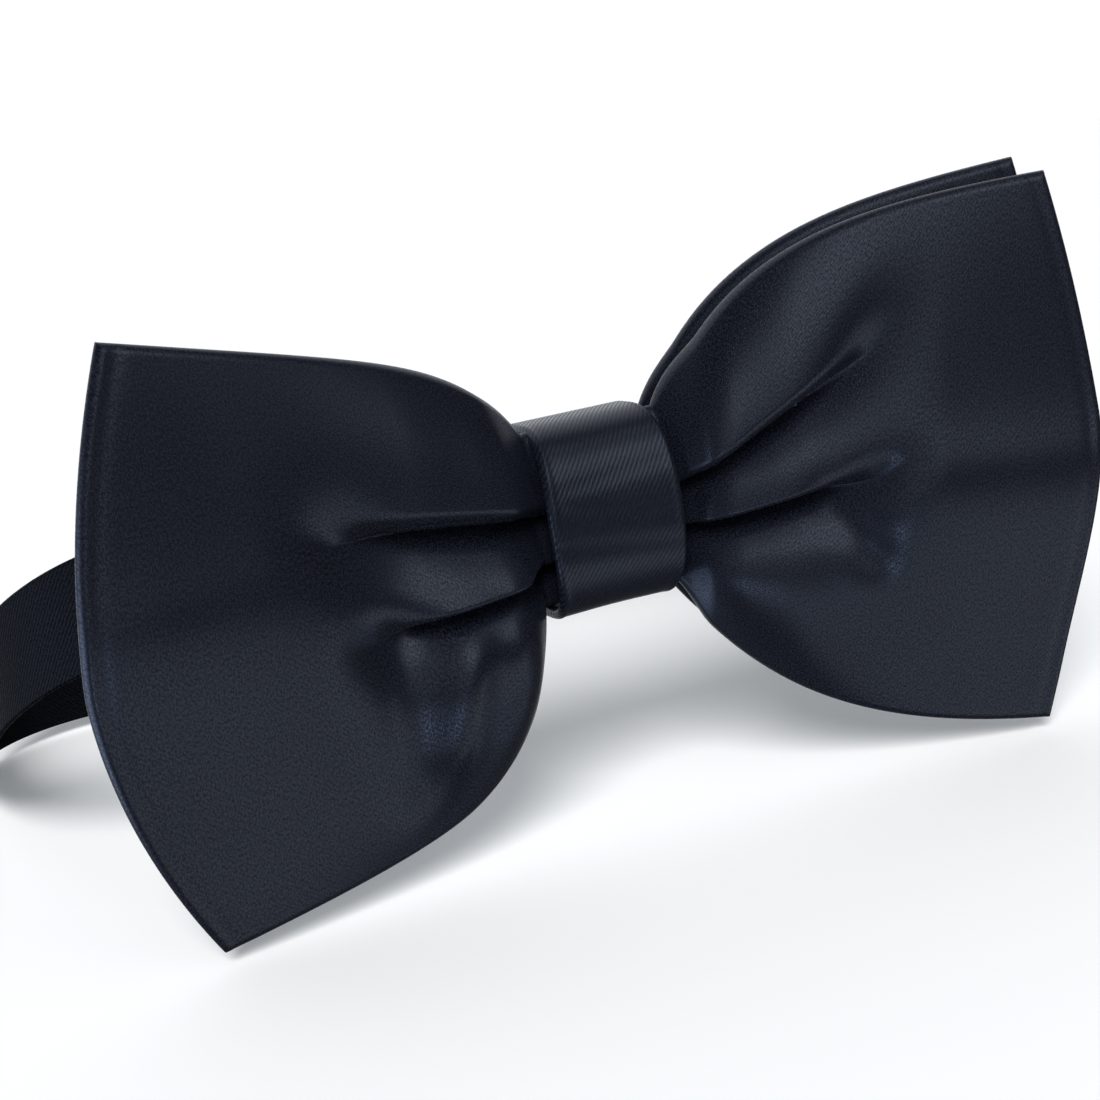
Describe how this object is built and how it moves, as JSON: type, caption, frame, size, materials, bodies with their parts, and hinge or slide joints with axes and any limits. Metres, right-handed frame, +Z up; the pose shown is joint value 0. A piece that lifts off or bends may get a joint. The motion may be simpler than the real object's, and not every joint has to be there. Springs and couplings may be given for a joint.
{
  "type": "bow tie",
  "caption": "Pre-tied satin bow tie: stacked bows pinched by a knot band, on an adjustable neck strap with hook, eye and slide.",
  "frame": {"origin": "centre of the knot's flat back, which rests on the shirt collar", "axes": "+Z up as worn, +X to the viewer's right along the bow, +Y back towards the wearer's neck; the bow's face looks along -Y"},
  "size_m": [0.1328, 0.1296, 0.0666],
  "materials": {
    "bow_satin": "satin",
    "knot_satin": "satin",
    "strap_satin": "satin",
    "interlining": "matte",
    "thread": "matte",
    "metal": "polished"
  },
  "bodies": {
    "knot": {"knot_band": "knot_satin", "knot_interlining": "interlining", "knot_seam_stitches": "thread", "gather_binding": "thread", "front_gather": "bow_satin", "back_gather": "bow_satin"},
    "left_wing": {"front_bow_left": "bow_satin", "back_bow_left": "bow_satin", "front_interlining_left": "interlining", "back_interlining_left": "interlining"},
    "right_wing": {"front_bow_right": "bow_satin", "back_bow_right": "bow_satin", "front_interlining_right": "interlining", "back_interlining_right": "interlining"},
    "strap": {"strap_front_run": "strap_satin", "strap_left_side": "strap_satin", "strap_right_side": "strap_satin", "strap_left_bend": "strap_satin", "strap_right_bend": "strap_satin"},
    "hook_end": {"strap_hook_end": "strap_satin", "hook_fold_stitches": "thread"},
    "hook": {"hook": "metal"},
    "slide_end": {"strap_slide_end": "strap_satin", "adjuster_inner_ply": "strap_satin"},
    "slide": {"slide_buckle": "metal", "slide_fold": "strap_satin", "slide_fold_stitches": "thread", "adjuster_outer_ply": "strap_satin"},
    "eye_fold": {"eye_fold": "strap_satin"},
    "eye": {"eye_ring": "metal"}
  },
  "joints": [
    {"name": "strap_slide", "type": "slide", "parent": "knot", "child": "strap", "axis": [1, 0, 0], "range_m": [-0.008, 0.008]},
    {"name": "left_wing_flex", "type": "hinge", "parent": "knot", "child": "left_wing", "pos_m": [-0.008, -0.009, 0], "axis": [0, 0, 1], "range_deg": [-6, 14], "stiffness_Nm_per_rad": 0.02},
    {"name": "right_wing_flex", "type": "hinge", "parent": "knot", "child": "right_wing", "pos_m": [0.008, -0.009, 0], "axis": [0, 0, -1], "range_deg": [-6, 14], "stiffness_Nm_per_rad": 0.02},
    {"name": "hook_end_swing", "type": "hinge", "parent": "strap", "child": "hook_end", "pos_m": [0.066, 0.0847, -0.02905], "axis": [0, 0, -1], "range_deg": [0, 70], "deforming": ["strap_right_bend"]},
    {"name": "slide_end_swing", "type": "hinge", "parent": "strap", "child": "slide_end", "pos_m": [-0.066, 0.0847, -0.02905], "axis": [0, 0, 1], "range_deg": [0, 70], "deforming": ["strap_left_bend"]},
    {"name": "hook_swivel", "type": "hinge", "parent": "hook_end", "child": "hook", "pos_m": [0.028, 0.1058, -0.02905], "axis": [0, 0, 1], "range_deg": [-60, 60]},
    {"name": "adjuster_slide", "type": "slide", "parent": "slide_end", "child": "slide", "axis": [1, 0, 0], "range_m": [-0.02, 0], "deforming": ["adjuster_outer_ply"]},
    {"name": "eye_travel", "type": "slide", "parent": "slide", "child": "eye_fold", "axis": [1, 0, 0], "range_m": [0, 0.01], "deforming": ["adjuster_inner_ply"]},
    {"name": "eye_swivel", "type": "hinge", "parent": "eye_fold", "child": "eye", "pos_m": [0, 0.1058, -0.02905], "axis": [0, 0, 1], "range_deg": [-60, 60]}
  ],
  "couplings": [
    {"joint": "eye_travel", "follows": "adjuster_slide", "ratio": -0.5}
  ]
}
